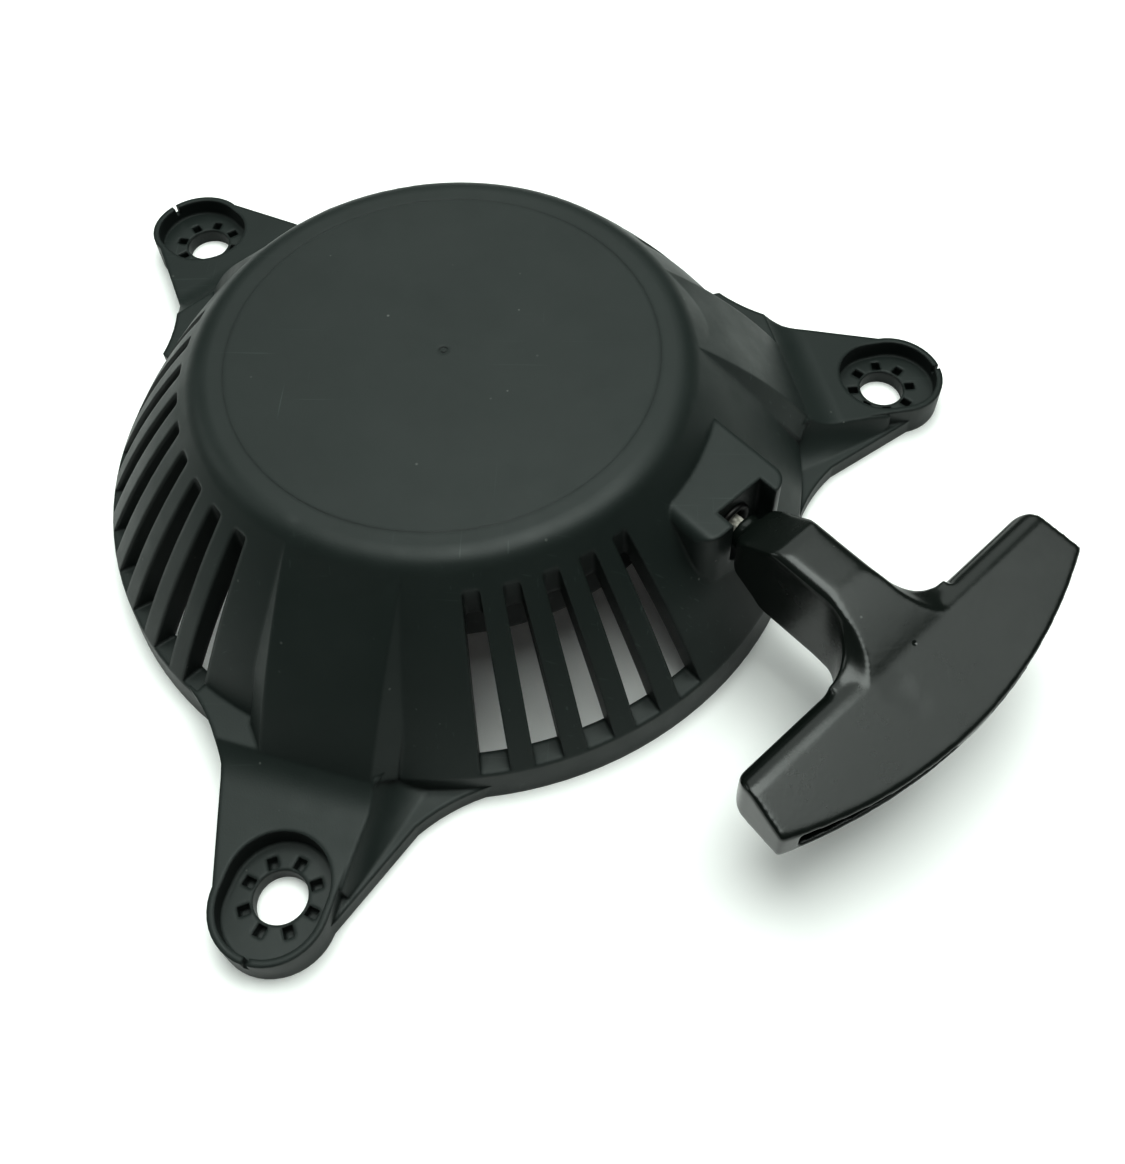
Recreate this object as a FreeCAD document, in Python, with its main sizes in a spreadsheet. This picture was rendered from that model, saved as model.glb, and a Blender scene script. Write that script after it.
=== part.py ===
import FreeCAD, Part
import math
import os

import Sketcher
from FreeCAD import Placement, Rotation, Vector

# Recoil starter for a vertical-shaft engine: a louvred cover on three legs, and inside it a
# rope reel, its return spring, the two pawls that catch the engine's starter cup, and the
# T-shaped handle. Millimetres. +Z is up, away from the engine. The origin is the centre of
# the plane that the cover's rim and feet stand on, on the crankshaft's axis.

doc = FreeCAD.newDocument("recoil_starter")

DIMENSIONS = [
    # cover shell
    ("rim_radius", 87.8), ("top_height", 52.0), ("flat_radius", 53.5), ("wall", 2.5),
    ("ledge_height", 10.2), ("ledge_radius", 81.4), ("seam_radius", 50.0),
    # legs and studs
    ("stud_circle_radius", 115.5), ("stud_hole_radius", 5.9), ("foot_radius", 12.9),
    ("foot_recess_radius", 11.3), ("foot_floor", 4.3), ("leg_height", 14.0), ("flange_height", 5.0),
    # louvres
    ("slot_top_radius", 61.4), ("slot_foot_radius", 86.75), ("slot_pitch", 8.0),
    # rope exit
    ("exit_azimuth", -45.9), ("rope_line_offset", 22.8), ("rope_height", 36.0),
    ("boss_front", 76.0), ("boss_top", 44.0),
    # post and centre screw
    ("post_radius", 9.0), ("post_foot", 25.0), ("insert_radius", 5.5), ("screw_radius", 2.95),
    # reel and rope
    ("reel_bore_radius", 9.06), ("drum_radius", 26.0), ("flange_radius", 44.0),
    ("rope_radius", 2.0), ("reel_floor", 29.5),
    # pawls
    ("pawl_pivot_radius", 24.0), ("pawl_pin_radius", 2.5), ("pawl_thickness", 6.8),
    # handle
    ("nose_reach", 77.2), ("neck_width", 13.2), ("neck_height", 25.4), ("bar_half_width", 46.5),
]
D = dict(DIMENSIONS)

sheet = doc.addObject("Spreadsheet::Sheet", "dims")
for row, (alias, value) in enumerate(DIMENSIONS, start=1):
    sheet.set("A%d" % row, alias)
    sheet.set("B%d" % row, str(value))
    sheet.setAlias("B%d" % row, alias)
doc.recompute()

LEG_AZIMUTHS = (-105.0, 15.0, 135.0)
SPRING_FLOOR = 43.2
INNER_TOP = D["top_height"] - D["wall"]


# ---------------------------------------------------------------- helpers

def polar(radius, degrees, z=0.0):
    angle = math.radians(degrees)
    return Vector(radius * math.cos(angle), radius * math.sin(angle), z)


def bind(obj, **expressions):
    """Bind properties of an object to the spreadsheet: bind(pad, Length='wall * 2')."""
    for prop, text in expressions.items():
        for alias in D:
            text = text.replace("<%s>" % alias, "dims." + alias)
        obj.setExpression(prop.replace("__", "."), text)


def new_body(label):
    body = doc.addObject("PartDesign::Body", label)
    body.Label = label
    return body


def sketch_on(body, role, name, turn=0.0, lift=0.0):
    """A sketch on one of the body's own origin planes: turned about +Z, or lifted along +Z."""
    plane = next(f for f in body.Origin.OriginFeatures if f.Role == role)
    sketch = body.newObject("Sketcher::SketchObject", name)
    sketch.AttachmentSupport = [(plane, "")]
    sketch.MapMode = "FlatFace"
    axis = Vector(0, 0, 1) if role == "XY_Plane" else Vector(0, 1, 0)
    rotation = Rotation(axis, turn)
    sketch.AttachmentOffset = Placement(rotation.multVec(Vector(0, 0, lift)), rotation)
    return sketch


def trace(sketch, start, *steps):
    """Close an outline: each step is a point to reach by a line, or (middle, end) by an arc."""
    here = Vector(*start)
    first = here
    for step in steps:
        if isinstance(step[0], tuple):
            middle, end = (Vector(*p) for p in step)
            sketch.addGeometry(Part.Arc(here, middle, end), False)
        else:
            end = Vector(*step)
            sketch.addGeometry(Part.LineSegment(here, end), False)
        here = end
    if (here - first).Length > 1e-6:
        sketch.addGeometry(Part.LineSegment(here, first), False)
    return sketch


def ring(sketch, radius_alias, centre=(0.0, 0.0)):
    """A circle whose radius is a constraint bound to the spreadsheet, or a plain number."""
    radius = D[radius_alias] if isinstance(radius_alias, str) else radius_alias
    index = sketch.addGeometry(Part.Circle(Vector(*centre, 0), Vector(0, 0, 1), radius), False)
    datum = sketch.addConstraint(Sketcher.Constraint("Radius", index, radius))
    if isinstance(radius_alias, str):
        sketch.setExpression("Constraints[%d]" % datum, "dims." + radius_alias)
    return sketch


def solid_feature(body, kind, sketch, name, **settings):
    feature = body.newObject("PartDesign::" + kind, name)
    feature.Profile = sketch
    sketch.Visibility = False
    for prop, value in settings.items():
        if isinstance(value, str) and prop in ("Length", "Length2", "Angle"):
            bind(feature, **{prop: value})
        else:
            setattr(feature, prop, value)
    return feature


def spin(body, sketch, name, kind="Revolution", **settings):
    """Revolve or groove a sketch about the body's own Z axis."""
    axis = next(f for f in body.Origin.OriginFeatures if f.Role == "Z_Axis")
    return solid_feature(body, kind, sketch, name, ReferenceAxis=(axis, [""]), **settings)


def repeat(body, features, name, count, span):
    """Repeat features about the body's Z axis over a span in degrees, first one included."""
    pattern = body.newObject("PartDesign::PolarPattern", name)
    pattern.Originals = features
    pattern.Axis = (next(f for f in body.Origin.OriginFeatures if f.Role == "Z_Axis"), [""])
    pattern.Angle = span
    pattern.Occurrences = count
    body.Tip = pattern
    return pattern


def place(obj, position=Vector(0, 0, 0), turn=0.0):
    obj.Placement = Placement(position, Rotation(Vector(0, 0, 1), turn))
    return obj


def shape_node(label, shape, placement=Placement()):
    node = doc.addObject("Part::Feature", label)
    node.Label = label
    node.Shape = shape
    node.Placement = placement
    return node


def smooth_pipe(points, radius):
    """A round rod along a smooth curve through the points, in the Z-up frame."""
    curve = Part.BSplineCurve()
    curve.interpolate([Vector(*p) for p in points])
    spine = Part.Wire([curve.toShape()])
    start = Vector(*points[0])
    direction = curve.tangent(curve.FirstParameter)[0]
    section = Part.Wire([Part.Circle(start, direction, radius).toShape()])
    return spine.makePipeShell([section], True, False)


# ---------------------------------------------------------------- cover

CONE_TOP = (59.03, 49.35)
CONE_MIDDLE = (74.17, 30.25)
CONE_FOOT = (87.07, 9.57)


def cover_outside(body):
    sketch = sketch_on(body, "XZ_Plane", "outer_profile")
    trace(sketch, (0, 0, 0), (D["rim_radius"], 0, 0), (*CONE_FOOT, 0),
          ((*CONE_MIDDLE, 0), (*CONE_TOP, 0)),
          ((56.6, 51.27, 0), (D["flat_radius"], D["top_height"], 0)), (0, D["top_height"], 0))
    bottom = sketch.addConstraint(Sketcher.Constraint("DistanceX", 0, 2, D["rim_radius"]))
    sketch.setExpression("Constraints[%d]" % bottom, "dims.rim_radius")
    spin(body, sketch, "outer_solid")


# where each side of a leg leaves the rim, as (start, middle, end) of a sweep, for +y
WIDE_SIDE = ((79.5, 36.0), (86.2, 27.8), (93.5, 22.2))
NARROW_SIDE = ((80.5, 18.0), (87.0, 13.6), (92.0, 12.0))
# how far the round end of a foot stands outside the stud's axis
FOOT_STRETCH = 3.0


def leg_outline(sketch, right, left):
    """A leg from inside the rim, swept in and narrowing to the round foot. y is across the leg."""
    end = D["stud_circle_radius"] + FOOT_STRETCH
    foot = D["foot_radius"]
    r_start, r_middle, r_end = ((x, -y, 0) for x, y in right)
    l_start, l_middle, l_end = ((x, y, 0) for x, y in left)
    trace(sketch, (76, r_start[1], 0), r_start, (r_middle, r_end),
          (end, -foot, 0), ((end + foot, 0, 0), (end, foot, 0)),
          l_end, (l_middle, l_start), (76, l_start[1], 0))


def leg(body, azimuth, web_side):
    """One leg: round foot, sloping top, and a low flange with a web on the web_side (+1, -1, 0)."""
    name = "leg_%d" % (LEG_AZIMUTHS.index(azimuth) + 1)
    right = WIDE_SIDE if web_side >= 0 else NARROW_SIDE
    left = WIDE_SIDE if web_side <= 0 else NARROW_SIDE
    top = sketch_on(body, "XY_Plane", name + "_top_outline", azimuth)
    leg_outline(top, right, left)
    solid_feature(body, "Pad", top, name + "_top", Length="<leg_height>")
    if web_side:
        flange = sketch_on(body, "XY_Plane", name + "_flange_outline", azimuth)
        leg_outline(flange, WIDE_SIDE, WIDE_SIDE)
        solid_feature(body, "Pad", flange, name + "_flange", Length="<flange_height>")
        root = sketch_on(body, "YZ_Plane", name + "_web_root", azimuth, 82.0)
        w = web_side
        trace(root, (8 * w, 0, 0), (26.0 * w, 0, 0), (26.0 * w, 4.5, 0),
              ((17.0 * w, 7.5, 0), (12.0 * w, 14.0, 0)), (8 * w, 14.0, 0))
        tip = sketch_on(body, "YZ_Plane", name + "_web_tip", azimuth, 112.0)
        trace(tip, (8 * w, 0, 0), (14.4 * w, 0, 0), (14.4 * w, 4.5, 0),
              ((13.8 * w, 7.0, 0), (13.4 * w, 9.4, 0)), (8 * w, 9.4, 0))
        solid_feature(body, "AdditiveLoft", root, name + "_web", Sections=[tip], Ruled=True)
    slope = sketch_on(body, "XZ_Plane", name + "_slope", azimuth)
    trace(slope, (84.0, 20.0, 0), (89.5, 13.6, 0), ((93.2, 11.6, 0), (99.0, 10.7, 0)),
          (134.0, 8.6, 0), (134.0, 20.0, 0))
    solid_feature(body, "Pocket", slope, name + "_top_slope", Type=1, Midplane=True)


def ridge(body, azimuth, shift):
    """The raised panel with sloping flanks that carries a leg up the cone to the shoulder."""
    name = "ridge_%d" % (LEG_AZIMUTHS.index(azimuth) + 1)
    sections = []
    for across, sink in ((-17.5, 4.4), (-13.0, 0.0), (13.0, 0.0), (17.5, 4.4)):
        sketch = sketch_on(body, "XZ_Plane", name + "_section", azimuth, across - shift)
        inward = Vector(-0.75 * sink, -0.66 * sink, 0)
        on_shoulder = math.sqrt(58.0 ** 2 - (across - shift) ** 2)
        crown, middle, foot = (tuple(Vector(x, z, 0) + inward)
                               for x, z in ((on_shoulder, 50.35), (75.9, 31.3), (89.6, 13.5)))
        trace(sketch, crown, (middle, foot), (80.0, 4.0, 0), (72.0, 20.0, 0), (54.0, 44.0, 0))
        sections.append(sketch)
    return solid_feature(body, "AdditiveLoft", sections[0], name, Sections=sections[1:], Ruled=True)


def rope_boss(body):
    """The square boss on the cone through which the rope leaves, with one softly rounded edge."""
    offset, azimuth, top = D["rope_line_offset"], D["exit_azimuth"], D["boss_top"]
    left, right, front, r, soft = offset - 13.0, offset + 13.2, D["boss_front"], 4.5, 2.8
    nick, ease = (radius * (1 - math.sqrt(0.5)) for radius in (r, soft))
    sketch = sketch_on(body, "XY_Plane", "boss_outline", azimuth, 12.0)
    trace(sketch, (40, left, 0), (front - r, left, 0),
          ((front - nick, left + nick, 0), (front, left + r, 0)), (front, right - r, 0),
          ((front - nick, right - nick, 0), (front - r, right, 0)), (40, right, 0))
    solid_feature(body, "Pad", sketch, "boss", Length="<boss_top> - 12 - %s" % soft)
    cap = sketch_on(body, "YZ_Plane", "boss_cap_profile", azimuth, 40.0)
    trace(cap, (left, top - soft - 1.0, 0), (right, top - soft - 1.0, 0), (right, top, 0),
          (left + soft, top, 0), ((left + ease, top - ease, 0), (left, top - soft, 0)))
    solid_feature(body, "Pad", cap, "boss_cap", Length=front - 40.0)
    corners = sketch_on(body, "XY_Plane", "boss_cap_corners", azimuth, top - soft - 1.0)
    for edge, inward in ((left, 1), (right, -1)):
        trace(corners, (front - r, edge, 0),
              ((front - nick, edge + nick * inward, 0), (front, edge + r * inward, 0)),
              (front + 1, edge + r * inward, 0), (front + 1, edge - inward, 0),
              (front - r, edge - inward, 0))
    solid_feature(body, "Pocket", corners, "boss_corners", Length=8.0, Reversed=True)


def cover_inside(body):
    sketch = sketch_on(body, "XZ_Plane", "inner_profile")
    ledge = D["ledge_radius"]
    trace(sketch, (0, -1, 0), (ledge, -1, 0), (ledge, D["ledge_height"], 0),
          (83.9, D["ledge_height"], 0), ((72.13, 28.8, 0), (57.2, 47.7, 0)),
          ((55.4, 49.0, 0), (53.2, INNER_TOP, 0)), (0, INNER_TOP, 0))
    spin(body, sketch, "inner_cavity", "Groove")
    channel = sketch_on(body, "XZ_Plane", "rim_channel")
    trace(channel, (83.6, -1, 0), (85.4, -1, 0), (85.4, 7.7, 0), (83.6, 7.7, 0))
    spin(body, channel, "rim_groove", "Groove")


def louvres(body, label, middle, count):
    """A group of tapering radial slots, cut through a belt of the cone made thicker inside."""
    pitch = D["slot_pitch"]
    belt = sketch_on(body, "XZ_Plane", label + "_belt_profile", middle)
    trace(belt, (59.6, 39.3, 0), ((71.2, 25.1, 0), (81.3, 10.2, 0)), (84.3, 10.2, 0),
          ((72.9, 29.3, 0), (59.6, 46.8, 0)))
    spin(body, belt, label + "_belt", Angle=pitch * count + 2.0, Midplane=True)
    first = middle - 0.5 * pitch * (count - 1)
    slot = sketch_on(body, "XY_Plane", label + "_slot_outline", first, D["ledge_height"])
    inner, outer = D["slot_top_radius"], D["slot_foot_radius"]
    a, b, r = 1.95, 3.35, 0.7
    nick = r * (1 - math.sqrt(0.5))
    trace(slot, (inner + r, -a, 0), (outer - 0.1, -b, 0), ((outer, 0, 0), (outer - 0.1, b, 0)),
          (inner + r, a, 0), ((inner + nick, a - nick, 0), (inner, a - r, 0)),
          (inner, r - a, 0), ((inner + nick, nick - a, 0), (inner + r, -a, 0)))
    pocket = solid_feature(body, "Pocket", slot, label + "_slot", Length=45.0, Reversed=True)
    repeat(body, [pocket], label + "_slots", count, pitch * (count - 1))


def boss_hollow(body):
    offset, azimuth = D["rope_line_offset"], D["exit_azimuth"]
    room = sketch_on(body, "XY_Plane", "boss_room_outline", azimuth, 20.0)
    trace(room, (46, offset - 10.5, 0), (68.0, offset - 10.5, 0), (68.0, offset + 10.7, 0),
          (46, offset + 10.7, 0))
    solid_feature(body, "Pocket", room, "boss_room", Length=21.5, Reversed=True)
    mouth = sketch_on(body, "YZ_Plane", "mouth_outline", azimuth, 71.2)
    low, r = 28.0, 3.0
    nick = r * (1 - math.sqrt(0.5))
    left, right = offset - 5.0, offset + 8.4
    trace(mouth, (left, 48, 0), (left, low + r, 0), ((left + nick, low + nick, 0), (left + r, low, 0)),
          (right - r, low, 0), ((right - nick, low + nick, 0), (right, low + r, 0)), (right, 48, 0))
    solid_feature(body, "Pocket", mouth, "boss_mouth", Length=12.0, Reversed=True)
    hole = sketch_on(body, "YZ_Plane", "rope_hole_outline", azimuth, 60.0)
    ring(hole, 4.2, (offset, D["rope_height"]))
    solid_feature(body, "Pocket", hole, "rope_hole", Length=14.0, Reversed=True)


def feet(body):
    """Stud recess, stud hole, eight castellation pockets and a drain notch in each foot."""
    centre = D["stud_circle_radius"]
    cuts = []
    recess = sketch_on(body, "XY_Plane", "foot_recess_outline", LEG_AZIMUTHS[0], D["foot_floor"])
    round_end, half = centre + FOOT_STRETCH, D["foot_recess_radius"]
    trace(recess, (centre - 1.0, -half, 0), (round_end, -half, 0),
          ((round_end + half, 0, 0), (round_end, half, 0)), (centre - 1.0, half, 0),
          ((centre - 1.0 - half, 0, 0), (centre - 1.0, -half, 0)))
    cuts.append(solid_feature(body, "Pocket", recess, "foot_recess", Length=20.0, Reversed=True))
    hole = sketch_on(body, "XY_Plane", "stud_hole_outline", LEG_AZIMUTHS[0])
    ring(hole, "stud_hole_radius", (centre, 0))
    cuts.append(solid_feature(body, "Pocket", hole, "stud_hole", Length=10.0, Reversed=True))
    pockets = sketch_on(body, "XY_Plane", "castellation_outline", LEG_AZIMUTHS[0], 1.4)
    for k in range(8):
        turn = math.radians(45.0 * k - 9.0)
        out = Vector(math.cos(turn), math.sin(turn), 0)
        side = Vector(-out.y, out.x, 0)
        corners = [Vector(centre, 0, 0) + out * r + side * s
                   for r, s in ((6.5, -1.1), (9.1, -1.1), (9.1, 1.1), (6.5, 1.1))]
        trace(pockets, *[tuple(c) for c in corners])
    cuts.append(solid_feature(body, "Pocket", pockets, "castellation", Length=6.0, Reversed=True))
    notch = sketch_on(body, "XY_Plane", "notch_outline", LEG_AZIMUTHS[0], 6.4)
    trace(notch, (centre + 13, -0.6, 0), (centre + 17, -0.6, 0), (centre + 17, 0.6, 0),
          (centre + 13, 0.6, 0))
    cuts.append(solid_feature(body, "Pocket", notch, "drain_notch", Length=8.0, Reversed=True))
    under = sketch_on(body, "XY_Plane", "leg_underside_outline", LEG_AZIMUTHS[0])
    trace(under, (90.4, -12.0, 0), (98.0, -9.5, 0), ((100.6, 0, 0), (98.0, 9.5, 0)),
          (90.4, 12.0, 0))
    cuts.append(solid_feature(body, "Pocket", under, "leg_underside", Length=7.5, Reversed=True))
    repeat(body, cuts, "three_feet", 3, 360.0)


def post_and_rings(body):
    """Inside the cover: bearing post, spring wall, guard wall and stiffening ribs."""
    post = sketch_on(body, "XZ_Plane", "post_profile")
    trace(post, (D["insert_radius"], D["post_foot"], 0), (D["post_radius"], D["post_foot"], 0),
          (D["post_radius"], 48.4, 0), (10.4, INNER_TOP + 0.5, 0), (0, INNER_TOP + 0.5, 0),
          (0, 46.0, 0), (D["insert_radius"], 46.0, 0))
    spin(body, post, "post")
    walls = sketch_on(body, "XZ_Plane", "ring_walls_profile")
    trace(walls, (30.0, 44.2, 0), (32.0, 44.2, 0), (32.4, INNER_TOP + 0.5, 0),
          (30.0, INNER_TOP + 0.5, 0))
    spin(body, walls, "spring_wall")
    guard = sketch_on(body, "XZ_Plane", "guard_profile")
    trace(guard, (57.2, 24.0, 0), (59.0, 24.0, 0), (59.4, 47.0, 0), (57.2, 47.6, 0))
    spin(body, guard, "guard_wall")
    rib = sketch_on(body, "XZ_Plane", "rib_profile", 30.0)
    trace(rib, (31.0, 46.6, 0), (57.6, 46.6, 0), (57.6, INNER_TOP - 1.0, 0),
          (55.0, INNER_TOP + 0.5, 0), (31.0, INNER_TOP + 0.5, 0))
    first = solid_feature(body, "Pad", rib, "top_rib", Length=1.8, Midplane=True)
    repeat(body, [first], "top_ribs", 6, 360.0)


def seam(body):
    """The fine circular line on the flat top, and the moulding gate mark at its centre."""
    line = sketch_on(body, "XZ_Plane", "seam_profile")
    r, top = D["seam_radius"], D["top_height"]
    trace(line, (r - 0.16, top + 0.1, 0), (r + 0.16, top + 0.1, 0), (r, top - 0.22, 0))
    spin(body, line, "seam_groove", "Groove")
    gate = sketch_on(body, "XY_Plane", "gate_outline", 0.0, top - 0.25)
    ring(gate, 1.1)
    ring(gate, 0.55)
    solid_feature(body, "Pocket", gate, "gate_mark", Length=2.0, Reversed=True)


def housing():
    body = new_body("housing")
    cover_outside(body)
    for azimuth, web_side in zip(LEG_AZIMUTHS, (1, -1, 0)):
        leg(body, azimuth, web_side)
        ridge(body, azimuth, -1.5 * web_side)
    rope_boss(body)
    cover_inside(body)
    louvres(body, "front", -64.4, 5)
    louvres(body, "left", -162.2, 9)
    louvres(body, "rear", 75.0, 9)
    post_and_rings(body)
    boss_hollow(body)
    feet(body)
    seam(body)
    return body


# ---------------------------------------------------------------- rope exit, post and screw

def exit_point(along, across=0.0, height=0.0):
    """A point by its distance along the rope's line from the axis, and off that line."""
    line = polar(along, D["exit_azimuth"])
    side = polar(D["rope_line_offset"] + across, D["exit_azimuth"] + 90.0)
    return line + side + Vector(0, 0, D["rope_height"] + height)


def turned_piece(label, start, *steps, **placing):
    """A body of revolution about its own Z axis from a half profile in (radius, height)."""
    body = new_body(label)
    sketch = sketch_on(body, "XZ_Plane", label + "_profile")
    trace(sketch, start, *steps)
    spin(body, sketch, label + "_turned")
    if placing:
        body.Placement = placing["placement"]
    return body


def rope_eyelet():
    """Steel ferrule pressed into the boss: a flared bore that the rope slides through."""
    along_line = Placement(exit_point(66.5), Rotation(Vector(0, 0, 1), polar(1, D["exit_azimuth"])))
    return turned_piece("rope_eyelet", (3.9, 0, 0), (4.15, 0.3, 0), (4.15, 4.72, 0),
                        (4.85, 4.72, 0), ((4.95, 5.4, 0), (4.3, 5.9, 0)),
                        ((3.3, 5.5, 0), (2.8, 4.4, 0)), (2.8, 1.6, 0),
                        ((3.1, 0.5, 0), (3.9, 0, 0)), placement=along_line)


def hub_insert():
    """Threaded brass insert moulded into the bearing post."""
    inner, outer, foot = D["screw_radius"] + 0.03, D["insert_radius"] - 0.02, D["post_foot"]
    return turned_piece("hub_insert", (inner, foot + 0.1, 0), (outer, foot + 0.1, 0),
                        (outer, 33.0, 0), (outer - 0.6, 33.4, 0), (outer - 0.6, 37.0, 0),
                        (outer, 37.4, 0), (outer, 45.8, 0), (inner, 45.8, 0))


SCREW_SEAT = 12.5
COLLAR_FOOT = 13.5
RETAINER_FOOT = 24.0


def centre_screw():
    """Hexagon flange screw that holds the collar, the washers and the pawl guide."""
    shank = D["screw_radius"]
    body = turned_piece("centre_screw", (0, 9.6, 0), (7.3, SCREW_SEAT - 1.2, 0),
                        (7.6, SCREW_SEAT, 0), (shank, SCREW_SEAT, 0), (shank, 42.4, 0),
                        (shank - 0.7, 43.0, 0), (0, 43.0, 0))
    head = sketch_on(body, "XY_Plane", "hexagon", 0.0, 8.0)
    trace(head, *[tuple(polar(5.77, 60.0 * k)) for k in range(6)])
    solid_feature(body, "Pad", head, "hexagon_head", Length=3.6)
    return body


def screw_washer():
    inner = D["screw_radius"] + 0.15
    return turned_piece("screw_washer", (inner, SCREW_SEAT, 0), (9.5, SCREW_SEAT, 0),
                        (9.5, COLLAR_FOOT, 0), (inner, COLLAR_FOOT, 0))


def screw_collar():
    """Spacer tube that the pawl guide turns on."""
    inner = D["screw_radius"] + 0.15
    return turned_piece("screw_collar", (inner, COLLAR_FOOT, 0), (6.0, COLLAR_FOOT, 0),
                        (6.0, RETAINER_FOOT, 0), (inner, RETAINER_FOOT, 0))


def reel_retainer():
    """Wide washer under the post that keeps the reel from dropping off."""
    inner, top = D["screw_radius"] + 0.15, D["post_foot"]
    return turned_piece("reel_retainer", (inner, RETAINER_FOOT, 0), (13.0, RETAINER_FOOT, 0),
                        (13.0, top, 0), (inner, top, 0))


def spiral_points(radius_in, radius_out, turns, offset, steps_per_turn=16):
    """Points on a flat spiral, moved outward by an offset."""
    count = int(turns * steps_per_turn)
    for k in range(count + 1):
        share = k / count
        radius = radius_in + (radius_out - radius_in) * share + offset
        yield polar(radius, 360.0 * turns * share)


def mainspring():
    """Flat return spring, coiled between the reel's hub and the wall under the cover."""
    sides = []
    for offset in (-0.3, 0.3):
        curve = Part.BSplineCurve()
        curve.interpolate(list(spiral_points(12.6, 28.8, 7.5, offset)))
        sides.append(curve.toShape())
    inner_side, outer_side = sides
    caps = [Part.LineSegment(inner_side.valueAt(edge_end(inner_side, end)),
                             outer_side.valueAt(edge_end(outer_side, end))).toShape()
            for end in (0, 1)]
    outline = Part.Wire(Part.__sortEdges__([inner_side, caps[1], outer_side, caps[0]]))
    strip = Part.Face(outline).extrude(Vector(0, 0, 4.6))
    return shape_node("mainspring", strip, Placement(Vector(0, 0, SPRING_FLOOR), Rotation()))


def edge_end(edge, end):
    return edge.LastParameter if end else edge.FirstParameter


def coil_points(radius, pitch, turns, steps_per_turn=12):
    """Points up a helix about +Z that starts at the origin's height."""
    return [polar(radius, 360.0 * k / steps_per_turn, pitch * k / steps_per_turn)
            for k in range(int(turns * steps_per_turn) + 1)]


def friction_spring():
    """Coil spring that presses on the pawl guide, so that the guide lags behind the reel."""
    return shape_node("friction_spring", smooth_pipe(coil_points(8.0, 1.5, 1.5), 0.6),
                      Placement(Vector(0, 0, COLLAR_FOOT + 0.65), Rotation()))


# ---------------------------------------------------------------- reel and rope

ROPE_LAYERS = (28.1, 32.2, 36.3)
ROPE_COLUMN = 2.2
TURN_LENGTH = 320.0
LAST_TURN = 258.0
ROPE_SHARES = (0.01, 0.3, 0.6, 0.85)
TURN_STEPS = 186


def eased(share):
    """A share of a move, slow at both ends."""
    return share * share * (3 - 2 * share)


def reel():
    body = new_body("reel")
    profile = sketch_on(body, "XZ_Plane", "reel_profile")
    bore, drum, rim, floor = (D[k] for k in
                              ("reel_bore_radius", "drum_radius", "flange_radius", "reel_floor"))
    foot = D["post_foot"] + 0.35
    trace(profile, (bore, foot, 0), (12.6, foot, 0), (12.6, floor, 0), (rim - 0.6, floor, 0),
          (rim, floor + 0.6, 0), (rim - 0.4, floor + 1.8, 0), (drum + 1.0, floor + 2.2, 0),
          (drum, floor + 2.4, 0), (drum, 40.4, 0), (drum + 1.0, 40.6, 0), (rim - 0.4, 41.0, 0),
          (rim, 41.9, 0), (rim - 0.6, 42.5, 0), (11.6, 42.5, 0), (11.6, 48.0, 0), (bore, 48.0, 0))
    spin(body, profile, "reel_turned")
    window = sketch_on(body, "XY_Plane", "drum_window_outline", 30.0, floor + 1.1)
    inner, outer = 14.8, drum - 2.6
    low, high = math.radians(-24), math.radians(24)
    trace(window, (inner * math.cos(low), inner * math.sin(low), 0),
          (outer * math.cos(low), outer * math.sin(low), 0),
          ((outer, 0, 0), (outer * math.cos(high), outer * math.sin(high), 0)),
          (inner * math.cos(high), inner * math.sin(high), 0),
          ((inner, 0, 0), (inner * math.cos(low), inner * math.sin(low), 0)))
    pocket = solid_feature(body, "Pocket", window, "drum_window", Length=14.0, Reversed=True)
    repeat(body, [pocket], "drum_windows", 6, 360.0)
    holes = sketch_on(body, "XY_Plane", "flange_hole_outline", 30.0, floor - 1.0)
    ring(holes, 3.4, (35.5, 0))
    lightening = solid_feature(body, "Pocket", holes, "flange_hole", Length=4.0, Reversed=True)
    repeat(body, [lightening], "flange_holes", 6, 360.0)
    pins = sketch_on(body, "XY_Plane", "pin_hole_outline", 0.0, floor - 1.0)
    ring(pins, "pawl_pin_radius", (D["pawl_pivot_radius"], 0))
    ring(pins, 0.6, (D["pawl_pivot_radius"] - 0.45, 3.6))
    pin_hole = solid_feature(body, "Pocket", pins, "pin_hole", Length=3.3, Reversed=True)
    repeat(body, [pin_hole], "pin_holes", 2, 360.0)
    knot_bore = sketch_on(body, "YZ_Plane", "knot_bore_outline", KNOT_AZIMUTH, 18.0)
    ring(knot_bore, 2.2, (0, D["rope_height"] - ROPE_COLUMN))
    solid_feature(body, "Pocket", knot_bore, "knot_bore", Length=9.0, Reversed=True)
    return body


def rope_tangent():
    """Azimuth at which the rope leaves the outer layer on its way to the eyelet."""
    gate = exit_point(67.0)
    reach = math.hypot(gate.x, gate.y)
    bearing = math.degrees(math.atan2(gate.y, gate.x))
    return bearing + math.degrees(math.acos(ROPE_LAYERS[-1] / reach))


TOTAL_TURN = 5 * TURN_LENGTH + LAST_TURN
KNOT_AZIMUTH = (rope_tangent() + TOTAL_TURN) % 360.0


def winding_points():
    """Three layers of two turns each, wound outwards and ending where the rope leaves."""
    slots = []
    for layer, radius in enumerate(ROPE_LAYERS):
        columns = (-ROPE_COLUMN, ROPE_COLUMN) if layer % 2 == 0 else (ROPE_COLUMN, -ROPE_COLUMN)
        slots += [(radius, column) for column in columns]
    crossing = 40.0
    for step in range(TURN_STEPS + 1):
        turned = TOTAL_TURN * step / TURN_STEPS
        index = min(int(turned / TURN_LENGTH), len(slots) - 1)
        radius, column = slots[index]
        into = turned - index * TURN_LENGTH - (TURN_LENGTH - crossing)
        if into > 0 and index + 1 < len(slots):
            ease = eased(into / crossing)
            radius += (slots[index + 1][0] - radius) * ease
            column += (slots[index + 1][1] - column) * ease
        yield polar(radius, rope_tangent() + TOTAL_TURN - turned, D["rope_height"] + column)


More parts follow.
